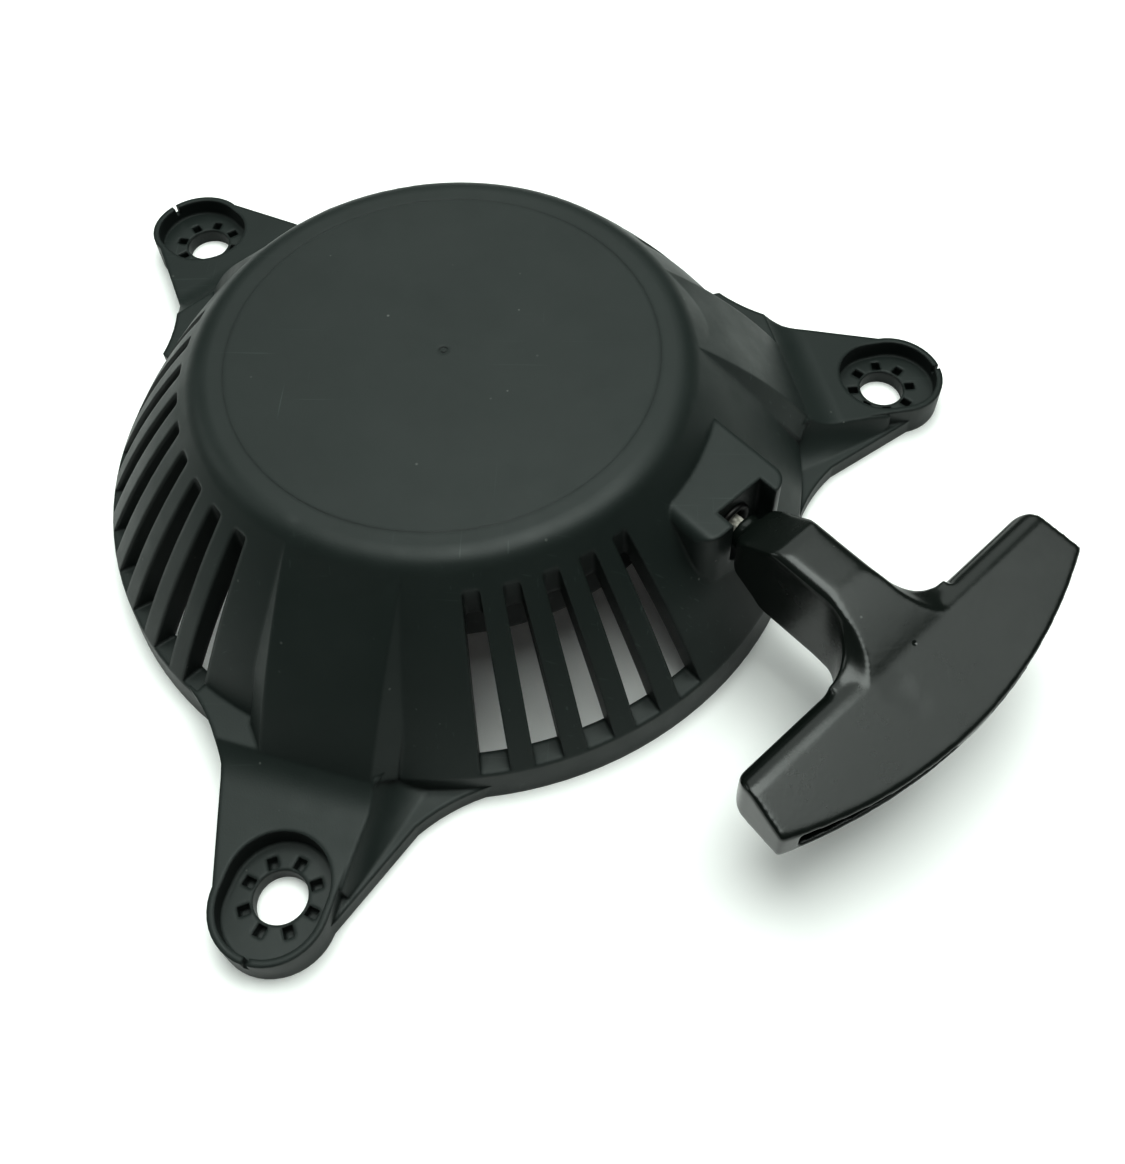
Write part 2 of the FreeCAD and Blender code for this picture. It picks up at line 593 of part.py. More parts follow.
def rope_winding():
    return shape_node("rope_winding", smooth_pipe(list(winding_points()), D["rope_radius"]))


def reel_knot():
    """The rope's inner end: a short length through the drum, and a knot behind it."""
    height = D["rope_height"] - ROPE_COLUMN
    stub = Part.makeCylinder(D["rope_radius"], 5.6, polar(20.4, KNOT_AZIMUTH, height),
                             polar(1, KNOT_AZIMUTH))
    knot = Part.makeTorus(1.7, 1.35, polar(20.6, KNOT_AZIMUTH, height), polar(1, KNOT_AZIMUTH))
    return shape_node("reel_knot", stub.fuse(knot))


def rope_run():
    """The rope between the reel and the handle, bent a little by the eyelet."""
    leave = polar(ROPE_LAYERS[-1], rope_tangent(), D["rope_height"] + ROPE_COLUMN)
    gate = exit_point(67.0)
    inside = [leave + (gate - leave) * share for share in ROPE_SHARES]
    for share, point in zip(ROPE_SHARES, inside):
        point.z = D["rope_height"] + ROPE_COLUMN * (1 - eased(share))
    outside = [exit_point(along) for along in (69.5, 72.5, 76.0, D["nose_reach"])]
    return shape_node("rope_run", smooth_pipe(inside + outside, D["rope_radius"]))


# ---------------------------------------------------------------- pawls

PAWL_FLOOR = 22.2
PEG = (18.0, -9.0)
PAWL_SWING = 40.0
GUIDE_TURN = 24.0


def pawl(number):
    """A pawl on its pin, with a peg that the guide's slot leads outwards."""
    body = new_body("pawl_%d" % number)
    outline = sketch_on(body, "XY_Plane", "pawl_outline", 0.0, PAWL_FLOOR)
    pivot = D["pawl_pivot_radius"]
    trace(outline, (pivot + 5.4, 0, 0), ((pivot, 5.4, 0), (pivot - 5.4, 0, 0)),
          ((15.6, -6.0, 0), (15.4, -9.5, 0)), ((16.0, -14.5, 0), (18.6, -18.6, 0)),
          (25.2, -19.6, 0), ((25.6, -16.0, 0), (27.4, -12.0, 0)),
          ((29.2, -6.5, 0), (pivot + 5.4, 0, 0)))
    solid_feature(body, "Pad", outline, "pawl_plate", Length="<pawl_thickness>")
    bore = sketch_on(body, "XY_Plane", "pawl_bore_outline", 0.0, PAWL_FLOOR - 1.0)
    ring(bore, D["pawl_pin_radius"] + 0.04, (pivot, 0))
    solid_feature(body, "Pocket", bore, "pawl_bore", Length=12.0, Reversed=True)
    nest = sketch_on(body, "XY_Plane", "spring_nest_outline", 0.0, PAWL_FLOOR + 4.2)
    ring(nest, 4.6, (pivot, 0))
    solid_feature(body, "Pocket", nest, "spring_nest", Length=6.0, Reversed=True)
    peg = sketch_on(body, "XY_Plane", "peg_outline", 0.0, 17.7)
    ring(peg, 1.8, PEG)
    solid_feature(body, "Pad", peg, "peg", Length=PAWL_FLOOR + 1.0 - 17.7)
    return place(body, turn=180.0 * (number - 1))


def both_sides(make):
    """A shape made for one pawl, and again half a turn round."""
    first = make()
    second = make()
    second.rotate(Vector(0, 0, 0), Vector(0, 0, 1), 180.0)
    return Part.makeCompound([first, second])


def pawl_pins():
    """Two headed pins riveted into the reel's lower flange."""
    pivot, radius = D["pawl_pivot_radius"], D["pawl_pin_radius"] - 0.02

    def pin():
        shank = Part.makeCylinder(radius, 10.8, Vector(pivot, 0, 21.0))
        head = Part.makeCylinder(4.0, 0.85, Vector(pivot, 0, 21.0))
        return shank.fuse(head).removeSplitter()
    return shape_node("pawl_pins", both_sides(pin))


def pawl_springs():
    """Two small torsion springs that fold the pawls back, each with a tail in the flange."""
    pivot, wire, coil_radius = D["pawl_pivot_radius"], 0.38, 3.6

    def spring():
        points = coil_points(coil_radius, 0.95, 1.75)
        top = points[-1]
        points += [top + Vector(0.35, 0, 0.6), top + Vector(0.45, 0, 1.3), top + Vector(0.45, 0, 2.6)]
        coil = smooth_pipe(points, wire)
        coil.rotate(Vector(0, 0, 0), Vector(0, 0, 1), 180.0)
        coil.translate(Vector(pivot, 0, 26.9))
        return coil
    return shape_node("pawl_springs", both_sides(spring))


def peg_in_guide(swing):
    """Where the peg stands in the guide's own frame when the pawl has swung out so far."""
    pivot = Vector(D["pawl_pivot_radius"], 0, 0)
    arm = Rotation(Vector(0, 0, 1), swing).multVec(Vector(*PEG, 0) - pivot)
    return Rotation(Vector(0, 0, 1), -swing * GUIDE_TURN / PAWL_SWING).multVec(pivot + arm)


def curved_slot(sketch, start, middle, end, half_width):
    """A slot of constant width along the arc through three points, with round ends."""
    centre = Part.Circle(start, middle, end).Center
    centre.z = 0

    def side(point, sign):
        return tuple(point + (point - centre).normalize() * half_width * sign)

    def tip(point, neighbour):
        inward = (neighbour - point).normalize()
        across = (point - centre).normalize()
        forward = (inward - across * inward.dot(across)).normalize()
        return tuple(point - forward * half_width)
    trace(sketch, side(start, 1), (side(middle, 1), side(end, 1)),
          (tip(end, middle), side(end, -1)), (side(middle, -1), side(start, -1)),
          (tip(start, middle), side(start, 1)))


def pawl_guide():
    """Friction plate on the collar: its two slots push the pawls out when the reel turns."""
    body = new_body("pawl_guide")
    plate = sketch_on(body, "XY_Plane", "guide_outline", -38.0, 18.0)
    reach, half = 22.0, 10.5
    trace(plate, (-reach, -half, 0), (reach, -half, 0), ((reach + half, 0, 0), (reach, half, 0)),
          (-reach, half, 0), ((-reach - half, 0, 0), (-reach, -half, 0)))
    solid_feature(body, "Pad", plate, "guide_plate", Length=2.5)
    hub = sketch_on(body, "XY_Plane", "guide_hub_outline", 0.0, 17.1)
    ring(hub, 9.0)
    solid_feature(body, "Pad", hub, "guide_hub", Length=4.5)
    bore = sketch_on(body, "XY_Plane", "guide_bore_outline", 0.0, 16.0)
    ring(bore, 6.06)
    solid_feature(body, "Pocket", bore, "guide_bore", Length=8.0, Reversed=True)
    slot = sketch_on(body, "XY_Plane", "guide_slot_outline", 0.0, 17.5)
    curved_slot(slot, *[peg_in_guide(PAWL_SWING * share) for share in (0.0, 0.5, 1.0)], 2.25)
    cut = solid_feature(body, "Pocket", slot, "guide_slot", Length=4.0, Reversed=True)
    repeat(body, [cut], "guide_slots", 2, 360.0)
    return body


# ---------------------------------------------------------------- handle

CREASE = 121.0
SNOUT_REACH = 74.4
BAR_FRONT = 115.2
BAR_BACK = 140.8
BAR_END = 130.3
BACK_EDGE = 1.45
GRIP_WALL = 1.5


def handle_placement():
    return Placement(exit_point(0.0), Rotation(Vector(0, 0, 1), D["exit_azimuth"]))


def grip_neck(body):
    """The tall neck: a bevelled nose, flares into the bar, and shoulders that fall to its height."""
    nose, half, tall = D["nose_reach"], D["neck_width"] / 2, D["neck_height"] / 2
    outline = sketch_on(body, "XY_Plane", "neck_outline")
    sweep = 12.0
    root, nick = BAR_FRONT - sweep, sweep * (1 - math.sqrt(0.5))
    trace(outline, (nose, -4.6, 0), ((nose + 1.0, -half + 0.5, 0), (nose + 3.2, -half, 0)),
          (root, -half, 0), ((BAR_FRONT - nick, -half - nick, 0), (BAR_FRONT, -half - sweep, 0)),
          (CREASE, -half - sweep, 0), (CREASE, half + sweep, 0), (BAR_FRONT, half + sweep, 0),
          ((BAR_FRONT - nick, half + nick, 0), (root, half, 0)), (nose + 3.2, half, 0),
          ((nose + 1.0, half - 0.5, 0), (nose, 4.6, 0)))
    solid_feature(body, "Pad", outline, "neck", Length="<neck_height>", Midplane=True)
    for up, level in ((1, "upper"), (-1, "lower")):
        trim = sketch_on(body, "XZ_Plane", level + "_neck_trim")
        trace(trim, (nose - 2, 3.6 * up, 0), (nose + 11.2, tall * 0.96 * up, 0),
              ((nose + 12.6, tall * 0.99 * up, 0), (nose + 14.6, tall * up, 0)),
              (103.0, tall * up, 0), ((113.6, 10.0 * up, 0), (CREASE, 6.9 * up, 0)),
              (CREASE + 1, 6.9 * up, 0), (CREASE + 1, 16 * up, 0), (nose - 2, 16 * up, 0))
        solid_feature(body, "Pocket", trim, level + "_neck_cut", Type=1, Midplane=True)
        for side, hand in ((1, "right"), (-1, "left")):
            shoulder = sketch_on(body, "YZ_Plane", "%s_%s_shoulder" % (level, hand))
            trace(shoulder, (4.4 * side, tall * up, 0),
                  ((6.2 * side, 11.9 * up, 0), (7.2 * side, 10.3 * up, 0)),
                  ((10.6 * side, 7.8 * up, 0), (19.0 * side, 6.6 * up, 0)),
                  (22.0 * side, 6.6 * up, 0), (22.0 * side, 16 * up, 0), (4.4 * side, 16 * up, 0))
            solid_feature(body, "Pocket", shoulder, "%s_%s_fall" % (level, hand), Type=1,
                          Midplane=True)


def grip_bar(body):
    """The cross bar: a wedge, thick at the fingers, with a curved back and an open, hollow edge."""
    side, top = D["bar_half_width"], 6.9
    profile = sketch_on(body, "XZ_Plane", "bar_profile")
    trace(profile, (BAR_FRONT, -2.2, 0), (BAR_FRONT, 2.2, 0),
          ((116.6, 5.5, 0), (CREASE, top, 0)), (142.0, BACK_EDGE, 0), (142.0, -BACK_EDGE, 0),
          (CREASE, -top, 0), ((116.6, -5.5, 0), (BAR_FRONT, -2.2, 0)))
    solid_feature(body, "Pad", profile, "bar", Length=2 * (side + 2.4), Midplane=True)
    ends = sketch_on(body, "XY_Plane", "bar_trim")
    trace(ends, (112.0, -side - 5, 0), (112.0, -side + 4.5, 0), (BAR_FRONT, -side + 4.5, 0),
          ((BAR_FRONT + 1.2, -side + 1.2, 0), (BAR_FRONT + 4.4, -side, 0)),
          (BAR_END, -side - 1.7, 0), ((BAR_BACK, 0, 0), (BAR_END, side + 1.7, 0)),
          (BAR_FRONT + 4.4, side, 0),
          ((BAR_FRONT + 1.2, side - 1.2, 0), (BAR_FRONT, side - 4.5, 0)),
          (112.0, side - 4.5, 0), (112.0, side + 5, 0), (150.0, side + 5, 0), (150.0, -side - 5, 0))
    solid_feature(body, "Pocket", ends, "bar_ends", Type=1, Midplane=True)
    hollow = sketch_on(body, "XZ_Plane", "bar_hollow_profile")
    fall = (top - BACK_EDGE) / (142.0 - CREASE)
    closes = CREASE + (top - GRIP_WALL) / fall
    start = CREASE + 3.0
    room = fall * (closes - start)
    trace(hollow, (start, -room, 0), (start, room, 0), (closes, 0, 0))
    solid_feature(body, "Pocket", hollow, "bar_hollow", Length=2 * (side - 2.4), Midplane=True)


def handle_grip():
    """T-shaped grip: a tall neck with a bevelled nose, and a wedge-shaped bar with a curved back."""
    body = new_body("handle_grip")
    grip_neck(body)
    grip_bar(body)
    snout = sketch_on(body, "YZ_Plane", "snout_outline", 0.0, SNOUT_REACH)
    ring(snout, 4.2)
    solid_feature(body, "Pad", snout, "snout", Length=D["nose_reach"] + 3.0 - SNOUT_REACH)
    channel = sketch_on(body, "YZ_Plane", "rope_channel_outline", 0.0, SNOUT_REACH - 1.0)
    ring(channel, 2.6)
    solid_feature(body, "Pocket", channel, "rope_channel", Length=CREASE - SNOUT_REACH,
                  Reversed=True)
    pocket = sketch_on(body, "XY_Plane", "knot_pocket_outline", 0.0, -9.0)
    trace(pocket, (119.0, -3.5, 0), ((118.0, 0, 0), (119.0, 3.5, 0)), (121.5, 5.6, 0),
          (125.0, 5.6, 0), ((128.5, 0, 0), (125.0, -5.6, 0)), (121.5, -5.6, 0))
    solid_feature(body, "Pocket", pocket, "knot_pocket", Length=12.6, Reversed=True)
    body.Placement = handle_placement()
    return body


def rope_tail():
    """The rope inside the handle, from its nose to the knot."""
    nose = D["nose_reach"]
    tail = Part.makeCylinder(D["rope_radius"], 120.0 - nose, exit_point(nose),
                             polar(1, D["exit_azimuth"]))
    return shape_node("rope_tail", tail)


def handle_knot():
    """Stopper knot at the rope's outer end."""
    axis = polar(1, D["exit_azimuth"])
    body = Part.makeSphere(2.7, exit_point(122.8))
    loop = Part.makeTorus(2.1, 1.25, exit_point(122.2), axis)
    return shape_node("handle_knot", body.fuse(loop))


# ---------------------------------------------------------------- write the nodes

NODES = (housing, rope_eyelet, hub_insert, centre_screw, screw_washer, screw_collar,
         reel_retainer, mainspring, friction_spring, reel, rope_winding, reel_knot, rope_run,
         pawl_pins, pawl_springs, pawl_guide, handle_grip, rope_tail, handle_knot)


def main():
    nodes = [make() for make in NODES] + [pawl(1), pawl(2)]
    doc.recompute()
    os.makedirs("parts", exist_ok=True)
    for obj in doc.Objects:
        if "Invalid" in obj.State or "Error" in obj.State:
            raise RuntimeError("%s: %s" % (obj.Name, obj.State))
    for node in nodes:
        if node.Shape.isNull() or not node.Shape.isValid():
            raise RuntimeError("bad shape: " + node.Label)
    for node in nodes:
        node.Shape.exportStep("parts/%s.step" % node.Label)
        print(node.Label, "volume %.0f" % node.Shape.Volume, "solids", len(node.Shape.Solids))


main()
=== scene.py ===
import math

import bmesh
import bpy
from mathutils import Matrix, Vector

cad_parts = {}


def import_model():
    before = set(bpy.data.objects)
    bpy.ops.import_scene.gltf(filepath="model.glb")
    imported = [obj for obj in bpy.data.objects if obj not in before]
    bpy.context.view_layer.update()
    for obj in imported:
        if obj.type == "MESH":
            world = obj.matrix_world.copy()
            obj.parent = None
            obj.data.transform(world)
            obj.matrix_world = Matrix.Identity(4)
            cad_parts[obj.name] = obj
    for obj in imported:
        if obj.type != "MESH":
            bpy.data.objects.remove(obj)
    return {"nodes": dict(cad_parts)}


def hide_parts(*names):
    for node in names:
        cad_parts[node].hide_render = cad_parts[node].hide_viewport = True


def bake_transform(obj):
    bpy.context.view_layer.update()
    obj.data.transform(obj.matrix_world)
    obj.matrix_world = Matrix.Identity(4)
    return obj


# Recoil starter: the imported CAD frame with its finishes, a braided rope that pays out, a soft
# studio and the camera. Metres, +Z up, origin at the centre of the cover's foot plane.

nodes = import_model()["nodes"]
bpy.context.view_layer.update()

MM = 0.001

# ---------------------------------------------------------------- where the rope leaves

EXIT_AZIMUTH = math.radians(-45.9)
ROPE_LINE_OFFSET = 22.8 * MM
ROPE_HEIGHT = 36.0 * MM
ROPE_RADIUS = 2.0 * MM
GATE_REACH = 67.0 * MM
EYELET_REACH = 69.5 * MM
NOSE_REACH = 77.2 * MM
OUTER_TURN_RADIUS = 36.3 * MM
OUTER_TURN_HEIGHT = 38.2 * MM
EXIT_LINE = Vector((math.cos(EXIT_AZIMUTH), math.sin(EXIT_AZIMUTH), 0.0))
EXIT_SIDE = Vector((-EXIT_LINE.y, EXIT_LINE.x, 0.0))


def exit_point(along, across=0.0, height=0.0):
    """A point by its distance along the rope's line from the reel's axis, and off that line."""
    return (EXIT_LINE * along + EXIT_SIDE * (ROPE_LINE_OFFSET + across)
            + Vector((0, 0, ROPE_HEIGHT + height)))


# ---------------------------------------------------------------- node helpers

MIX_COLOUR_A, MIX_COLOUR_B, MIX_COLOUR_RESULT = 6, 7, 2  # sockets of a Mix node set to RGBA


class Shader:
    """A new material and short names for wiring its nodes."""

    def __init__(self, name):
        self.material = bpy.data.materials.new(name)
        self.material.use_nodes = True
        self.tree = self.material.node_tree
        self.surface = self.tree.nodes["Principled BSDF"]
        self.place = self.add("ShaderNodeTexCoord").outputs["Object"]

    def add(self, kind, **settings):
        node = self.tree.nodes.new(kind)
        for name, value in settings.items():
            setattr(node, name, value)
        return node

    def link(self, source, target):
        self.tree.links.new(source, target)

    def set(self, **sockets):
        for name, value in sockets.items():
            self.surface.inputs[name.replace("_", " ")].default_value = value

    def stretched(self, scale):
        """The object's coordinates multiplied by (x, y, z)."""
        node = self.add("ShaderNodeMapping")
        node.inputs["Scale"].default_value = scale
        self.link(self.place, node.inputs["Vector"])
        return node.outputs["Vector"]

    def noise(self, scale, detail=2.0, roughness=0.5, vector=None):
        """Noise from 0 to 1, scale in features per metre."""
        node = self.add("ShaderNodeTexNoise")
        node.inputs["Scale"].default_value = scale
        node.inputs["Detail"].default_value = detail
        node.inputs["Roughness"].default_value = roughness
        self.link(vector or self.place, node.inputs["Vector"])
        return node.outputs["Fac"]

    def cells(self, scale, vector=None):
        """Distance to the nearest of scattered points."""
        node = self.add("ShaderNodeTexVoronoi")
        node.inputs["Scale"].default_value = scale
        self.link(vector or self.place, node.inputs["Vector"])
        return node.outputs["Distance"]

    def dent(self, centre, radius):
        """0 at a point of the object, rising smoothly to 1 at that radius."""
        reach = self.add("ShaderNodeVectorMath", operation="DISTANCE")
        reach.inputs[1].default_value = centre
        self.link(self.place, reach.inputs[0])
        rise = self.add("ShaderNodeMapRange", interpolation_type="SMOOTHSTEP")
        rise.inputs["From Max"].default_value = radius
        self.link(reach.outputs["Value"], rise.inputs["Value"])
        return rise.outputs["Result"]

    def remap(self, value, low, high, to_low=0.0, to_high=1.0):
        """Stretches low..high to to_low..to_high, and holds the ends."""
        node = self.add("ShaderNodeMapRange")
        for name, number in (("From Min", low), ("From Max", high),
                             ("To Min", to_low), ("To Max", to_high)):
            node.inputs[name].default_value = number
        self.link(value, node.inputs["Value"])
        return node.outputs["Result"]

    def maths(self, operation, first, second):
        node = self.add("ShaderNodeMath", operation=operation)
        for socket, value in zip(node.inputs, (first, second)):
            if isinstance(value, (int, float)):
                socket.default_value = value
            else:
                self.link(value, socket)
        return node.outputs["Value"]

    def blend(self, share, first, second):
        """Mixes two colours, each a tuple or another node's output, by a node's output."""
        node = self.add("ShaderNodeMix", data_type="RGBA")
        self.link(share, node.inputs["Factor"])
        for index, colour in ((MIX_COLOUR_A, first), (MIX_COLOUR_B, second)):
            if isinstance(colour, tuple):
                node.inputs[index].default_value = (*colour, 1.0)
            else:
                self.link(colour, node.inputs[index])
        return node.outputs[MIX_COLOUR_RESULT]

    def soften(self, radius, samples=6):
        """Rounds the look of sharp edges by that radius."""
        node = self.add("ShaderNodeBevel", samples=samples)
        node.inputs["Radius"].default_value = radius
        return node.outputs["Normal"]

    def bump(self, height, distance, strength=1.0, normal=None):
        node = self.add("ShaderNodeBump")
        node.inputs["Distance"].default_value = distance
        node.inputs["Strength"].default_value = strength
        self.link(height, node.inputs["Height"])
        if normal is not None:
            self.link(normal, node.inputs["Normal"])
        return node.outputs["Normal"]

    def finish(self, colour=None, roughness=None, normal=None):
        for name, source in (("Base Color", colour), ("Roughness", roughness), ("Normal", normal)):
            if source is not None:
                self.link(source, self.surface.inputs[name])
        return self.material


# ---------------------------------------------------------------- finishes

DUST_TINT = (0.30, 0.31, 0.29)
GRIME_TINT = (0.20, 0.18, 0.15)
STRAND_TINT = (0.62, 0.60, 0.54)
# Painted shade for the grooves between the rope's strands.
STRAND_GAP_PAINTED_SHADE = (0.27, 0.26, 0.23)


def moulded(name, dark, light, rough, grain, edge, speck=0.5, scuff=0.35, mirror=0.5, dents=()):
    """Injection-moulded plastic: cloudy tone, fine grain, hairline scuffs, dents and dust."""
    s = Shader(name)
    s.set(Specular_IOR_Level=mirror)
    cloud = s.remap(s.noise(38.0, 4.0, 0.6), 0.35, 0.7)
    fine = s.noise(900.0, 2.0)
    tone = s.blend(s.maths("ADD", s.maths("MULTIPLY", cloud, 0.7), s.maths("MULTIPLY", fine, 0.3)),
                   dark, light)
    hair = s.remap(s.noise(1.0, 1.0, 0.5, s.stretched((30.0, 1500.0, 400.0))), 0.705, 0.76)
    other = s.remap(s.noise(1.0, 1.0, 0.5, s.stretched((1300.0, 45.0, 500.0))), 0.715, 0.77)
    scratch = s.maths("MULTIPLY", s.maths("MAXIMUM", hair, other),
                      s.remap(s.noise(25.0, 2.0), 0.45, 0.65, 0.0, scuff))
    distance = s.cells(260.0)
    lone = s.remap(s.noise(120.0, 1.0), 0.6, 0.68)
    dust = s.maths("MULTIPLY", s.remap(distance, 0.10, 0.06), s.maths("MULTIPLY", lone, speck))
    worn = s.blend(scratch, tone, tuple(2.6 * c + 0.02 for c in light))
    dusty = s.blend(dust, worn, DUST_TINT)
    gloss = s.maths("ADD", s.remap(s.noise(70.0, 5.0, 0.65), 0.3, 0.7, rough - 0.05, rough + 0.06),
                    s.maths("MULTIPLY", dust, 0.3))
    smooth = s.soften(edge)
    for centre, radius, depth in dents:
        smooth = s.bump(s.dent(centre, radius), depth, normal=smooth)
    surface = s.bump(s.noise(grain, 3.0, 0.6), 0.00006, 0.35, smooth)
    return s.finish(dusty, gloss, s.bump(scratch, 0.00002, 0.4, surface))


def plated(name, base, rough, tint):
    """Zinc-plated or plain metal: brushed grain, faint colour drift and dull patches."""
    s = Shader(name)
    s.set(Metallic=1.0)
    drift = s.remap(s.noise(160.0, 3.0, 0.6), 0.3, 0.7)
    grain = s.noise(1.0, 3.0, 0.6, s.stretched((900.0, 900.0, 6000.0)))
    gloss = s.maths("ADD", s.remap(s.noise(420.0, 3.0), 0.3, 0.7, rough - 0.08, rough + 0.1),
                    s.maths("MULTIPLY", grain, 0.06))
    surface = s.bump(grain, 0.00002, 0.5, s.soften(0.25 * MM))
    return s.finish(s.blend(drift, base, tint), gloss, surface)


def cord_finish_with_gap_shade(name):
    """Braided nylon: pale strands, painted shade in the grooves between them, and grime."""
    s = Shader(name)
    s.set(Sheen_Weight=0.25, Sheen_Roughness=0.6)
    strands = s.noise(2600.0, 2.0, 0.6)
    distance = s.cells(1100.0, s.stretched((1.0, 1.0, 1.6)))
    grime = s.remap(s.noise(90.0, 4.0, 0.7), 0.4, 0.7)
    # The grooves between strands get painted shade, darkest where the relief below sinks lowest.
    tone = s.blend(s.remap(distance, 0.15, 0.75), STRAND_TINT, STRAND_GAP_PAINTED_SHADE)
    grime_and_gap_shade = s.blend(s.maths("MULTIPLY", grime, 0.45), tone, GRIME_TINT)
    relief = s.bump(s.remap(distance, 0.0, 0.8, 1.0, 0.0), 0.0003, 0.6)
    return s.finish(grime_and_gap_shade, s.remap(strands, 0.2, 0.8, 0.7, 0.95),
                    s.bump(strands, 0.0001, 0.5, relief))


def assign(obj, material):
    obj.data.materials.clear()
    obj.data.materials.append(material)


GATE_MARK = tuple(exit_point(121.0 * MM, 1.7 * MM, 6.9 * MM))
SINK = tuple(exit_point(125.0 * MM, -8.0 * MM, 5.9 * MM))
SINK_TAIL = tuple(exit_point(129.5 * MM, -7.2 * MM, 4.7 * MM))
GRIP_DENTS = ((GATE_MARK, 0.7 * MM, 0.16 * MM), (SINK, 5.0 * MM, 0.18 * MM),
              (SINK_TAIL, 4.5 * MM, 0.10 * MM))
COVER = moulded("cover_finish", (0.0135, 0.0200, 0.0178), (0.0165, 0.0238, 0.0214), 0.45, 2600.0,
                1.4 * MM, speck=0.3, mirror=0.36)
GRIP = moulded("grip_finish", (0.0050, 0.0080, 0.0062), (0.0068, 0.0100, 0.0080), 0.24, 900.0,
               0.6 * MM, speck=0.3, scuff=0.3, mirror=0.5, dents=GRIP_DENTS)
GUIDE = moulded("guide_finish", (0.020, 0.020, 0.020), (0.032, 0.032, 0.032), 0.5, 2200.0, 0.4 * MM)
NYLON = moulded("reel_finish", (0.42, 0.40, 0.34), (0.56, 0.54, 0.47), 0.45, 2200.0, 0.5 * MM,
                speck=0.2)
# The eyelet is dark metal, made near-black as painted shade for the shadowed notch at the rope's
# exit.
EYELET_PAINTED_SHADE = plated("eyelet_painted_shade", (0.030, 0.031, 0.032), 0.42, (0.045, 0.042, 0.040))
ZINC = plated("zinc_finish", (0.62, 0.61, 0.57), 0.32, (0.66, 0.60, 0.45))
SINTERED = plated("pawl_finish", (0.33, 0.33, 0.32), 0.45, (0.24, 0.23, 0.22))
SPRING = plated("spring_finish", (0.20, 0.21, 0.24), 0.38, (0.27, 0.24, 0.22))
BRASS = plated("brass_finish", (0.71, 0.53, 0.24), 0.30, (0.58, 0.40, 0.18))
CORD = cord_finish_with_gap_shade("cord_finish_with_gap_shade")

FINISHES = {
    COVER: ["housing"],
    GRIP: ["handle_grip"],
    GUIDE: ["pawl_guide"],
    NYLON: ["reel"],
    EYELET_PAINTED_SHADE: ["rope_eyelet"],
    ZINC: ["centre_screw", "screw_washer", "screw_collar", "reel_retainer", "pawl_pins"],
    SINTERED: ["pawl_1", "pawl_2"],
    SPRING: ["mainspring", "friction_spring", "pawl_springs"],
    BRASS: ["hub_insert"],
    CORD: ["rope_winding", "reel_knot", "rope_tail", "handle_knot"],
}
for finish, names in FINISHES.items():
    for name in names:
        assign(nodes[name], finish)


# ---------------------------------------------------------------- soft edges on the grip

def round_by_voxels(obj, voxel, passes):
    """Rounds every edge of a moulding: a voxel skin, then so many smoothing passes."""
    skin = obj.modifiers.new("skin", "REMESH")
    skin.mode = "VOXEL"
    skin.voxel_size = voxel
    skin.use_smooth_shade = True
    ease = obj.modifiers.new("ease", "SMOOTH")
    ease.factor = 0.5
    ease.iterations = passes


round_by_voxels(nodes["handle_grip"], voxel=0.42 * MM, passes=24)


# ---------------------------------------------------------------- braided rope

BRAID_STRANDS = 8
BRAID_LAY = 5.2 * MM
BRAID_RELIEF = 0.22 * MM
RINGS_PER_MM = 4.0
RING_SIDES = 40


def braid_height(around, along):
    """Relief of a round braid, 0 to 1: two sets of strands that lean opposite ways."""
    twist = along / BRAID_LAY
    one = math.cos(0.5 * BRAID_STRANDS * (around + math.tau * twist / 4))
    two = math.cos(0.5 * BRAID_STRANDS * (around - math.tau * twist / 4))
    return 0.5 * (abs(one) ** 0.7 + abs(two) ** 0.7)


def smooth_line(name, points):
    """The points of a smooth curve led by the given points."""
    curve = bpy.data.curves.new(name + "_line", "CURVE")
    curve.dimensions = "3D"
    spline = curve.splines.new("NURBS")
    spline.points.add(len(points) - 1)
    for slot, point in zip(spline.points, points):
        slot.co = (*point, 1.0)
    spline.order_u = 3
    spline.use_endpoint_u = True
    curve.resolution_u = 24
    carrier = bpy.data.objects.new(name + "_line", curve)
    line = [v.co.copy() for v in bpy.data.meshes.new_from_object(carrier).vertices]
    bpy.data.objects.remove(carrier)
    return line


def braided_tube(name, points, radius):
    """A braided rope's skin round a smooth line, closed at both ends."""
    line = smooth_line(name, points)
    lengths = [0.0]
    for a, b in zip(line, line[1:]):
        lengths.append(lengths[-1] + (b - a).length)
    rings = int(lengths[-1] / MM * RINGS_PER_MM)
    mesh = bmesh.new()
    across = (line[1] - line[0]).orthogonal().normalized()
    previous = None
    index = 0
    for k in range(rings + 1):
        reach = lengths[-1] * k / rings
        while index < len(line) - 2 and lengths[index + 1] < reach:
            index += 1
        share = (reach - lengths[index]) / max(lengths[index + 1] - lengths[index], 1e-9)
        centre = line[index].lerp(line[index + 1], share)
        tangent = (line[index + 1] - line[index]).normalized()
        across = (across - tangent * across.dot(tangent)).normalized()
        other = tangent.cross(across)
        ring = []
        for j in range(RING_SIDES):
            angle = math.tau * j / RING_SIDES
            out = across * math.cos(angle) + other * math.sin(angle)
            swell = radius - BRAID_RELIEF + BRAID_RELIEF * braid_height(angle, reach)
            ring.append(mesh.verts.new(centre + out * swell))
        if previous:
            for j in range(RING_SIDES):
                n = (j + 1) % RING_SIDES
                mesh.faces.new((previous[j], previous[n], ring[n], ring[j]))
        else:
            mesh.faces.new(list(reversed(ring)))
        previous = ring
    mesh.faces.new(previous)
    data = bpy.data.meshes.new(name)
    mesh.to_mesh(data)
    mesh.free()
    for face in data.polygons:
        face.use_smooth = True
    obj = bpy.data.objects.new(name, data)
    bpy.context.scene.collection.objects.link(obj)
    return obj


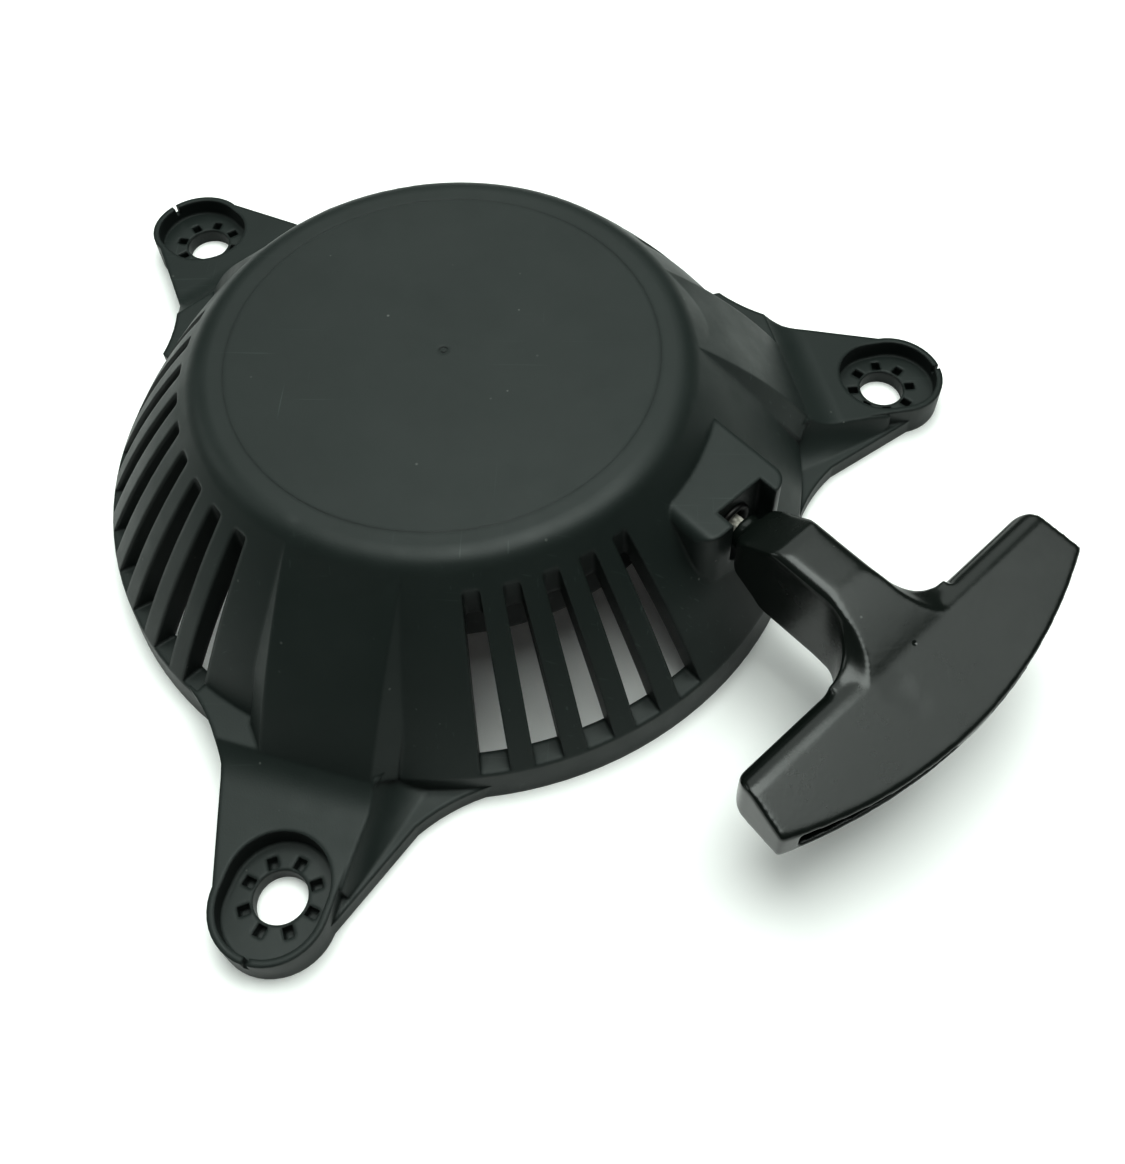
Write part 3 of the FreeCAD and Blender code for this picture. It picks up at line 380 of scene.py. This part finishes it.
def pull_rope():
    """The rope from the reel's outer turn, through the eyelet, to the handle's nose."""
    gate = exit_point(GATE_REACH)
    tangent_turn = math.acos(OUTER_TURN_RADIUS / math.hypot(gate.x, gate.y))
    bearing = math.atan2(gate.y, gate.x) + tangent_turn
    leave = Vector((OUTER_TURN_RADIUS * math.cos(bearing), OUTER_TURN_RADIUS * math.sin(bearing),
                    OUTER_TURN_HEIGHT))
    points = []
    for share in (0.0, 0.3, 0.6, 0.85):
        point = leave.lerp(gate, share)
        eased = share * share * (3 - 2 * share)
        point.z = ROPE_HEIGHT + (OUTER_TURN_HEIGHT - ROPE_HEIGHT) * (1 - eased)
        points.append(point)
    points += [exit_point(reach) for reach in (EYELET_REACH, 72.5 * MM, 76.0 * MM, NOSE_REACH)]
    rope = braided_tube("pull_rope", points, ROPE_RADIUS)
    assign(rope, CORD)
    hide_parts("rope_run")
    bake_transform(rope)


pull_rope()


# ---------------------------------------------------------------- floor, light and camera

FLOOR_RADIUS = 1.35
LIGHT_TINT = (0.94, 1.0, 0.965)
WORLD_TINT = (0.93, 1.0, 0.965, 1.0)
WORLD_STRENGTH = 0.12       # what lights the object
BACKDROP_STRENGTH = 1.0     # what the camera sees behind it
LIGHTS = (                  # name, place, target, width in metres, watts
    ("zenith", (0.1, 0.1, 1.9), (0, 0, 0), 1.5, 38.0),
    ("back", (-0.1, 0.95, 1.1), (0, 0, 0), 1.3, 7.0),
    ("right", (1.0, 0.15, 1.4), (0.1, -0.1, 0), 0.9, 5.0),
    ("left", (-1.2, 0.3, 0.9), (0, 0, 0), 0.7, 3.5),
)
SENSOR_WIDTH = 36.0         # millimetres, as the lens
LENS = 40.284
LENS_SHIFT = (-0.0539, -0.0588)
CAMERA_PLACE = (0.04213, -0.19821, 0.27868)
CAMERA_RIGHT = (0.99993, 0.00971, 0.00658)
CAMERA_UP = (-0.01173, 0.82795, 0.56068)
GAMMA = 0.8


def studio_floor():
    mesh = bmesh.new()
    bmesh.ops.create_circle(mesh, cap_ends=True, segments=128, radius=FLOOR_RADIUS)
    data = bpy.data.meshes.new("floor")
    mesh.to_mesh(data)
    mesh.free()
    floor = bpy.data.objects.new("floor", data)
    bpy.context.scene.collection.objects.link(floor)
    s = Shader("floor_finish")
    s.set(Base_Color=(0.93, 0.93, 0.92, 1.0), Roughness=0.6)
    s.set(Emission_Color=(1.0, 1.0, 0.985, 1.0), Emission_Strength=0.03)
    assign(floor, s.material)


def soft_light(name, place, target, width, power):
    light = bpy.data.lights.new(name, "AREA")
    light.shape = "DISK"
    light.size = width
    light.energy = power
    light.color = LIGHT_TINT
    lamp = bpy.data.objects.new(name, light)
    lamp.location = place
    aim = (Vector(target) - Vector(place)).to_track_quat("-Z", "Y")
    lamp.rotation_euler = aim.to_euler()
    bpy.context.scene.collection.objects.link(lamp)


def studio_light():
    """A dim world that the camera sees as a bright backdrop, and four soft lights."""
    world = bpy.data.worlds.new("studio")
    world.use_nodes = True
    background = world.node_tree.nodes["Background"]
    background.inputs["Color"].default_value = WORLD_TINT
    path = world.node_tree.nodes.new("ShaderNodeLightPath")
    strength = world.node_tree.nodes.new("ShaderNodeMapRange")
    strength.inputs["To Min"].default_value = WORLD_STRENGTH
    strength.inputs["To Max"].default_value = BACKDROP_STRENGTH
    world.node_tree.links.new(path.outputs["Is Camera Ray"], strength.inputs["Value"])
    world.node_tree.links.new(strength.outputs["Result"], background.inputs["Strength"])
    bpy.context.scene.world = world
    for light in LIGHTS:
        soft_light(*light)


def photo_camera():
    """The camera that took the photo, as calibrated."""
    camera = bpy.data.cameras.new("camera")
    camera.sensor_width = SENSOR_WIDTH
    camera.lens = LENS
    camera.shift_x, camera.shift_y = LENS_SHIFT
    camera.clip_start = 0.01
    holder = bpy.data.objects.new("camera", camera)
    right = Vector(CAMERA_RIGHT).normalized()
    up = Vector(CAMERA_UP)
    up = (up - right * up.dot(right)).normalized()
    back = right.cross(up)
    turn = Matrix((right, up, back)).transposed()
    holder.matrix_world = Matrix.Translation(CAMERA_PLACE) @ turn.to_4x4()
    bpy.context.scene.collection.objects.link(holder)
    bpy.context.scene.camera = holder


studio_floor()
studio_light()
photo_camera()
bpy.context.scene.view_settings.view_transform = "Standard"
bpy.context.scene.view_settings.gamma = GAMMA

# ---------------------------------------------------------------- smooth shading on the cover

# Edges flatter than this are shaded smooth, so the cover's facets don't show.
HOUSING_SHARP_ANGLE = math.radians(28)
nodes["housing"].data.set_sharp_from_angle(angle=HOUSING_SHARP_ANGLE)
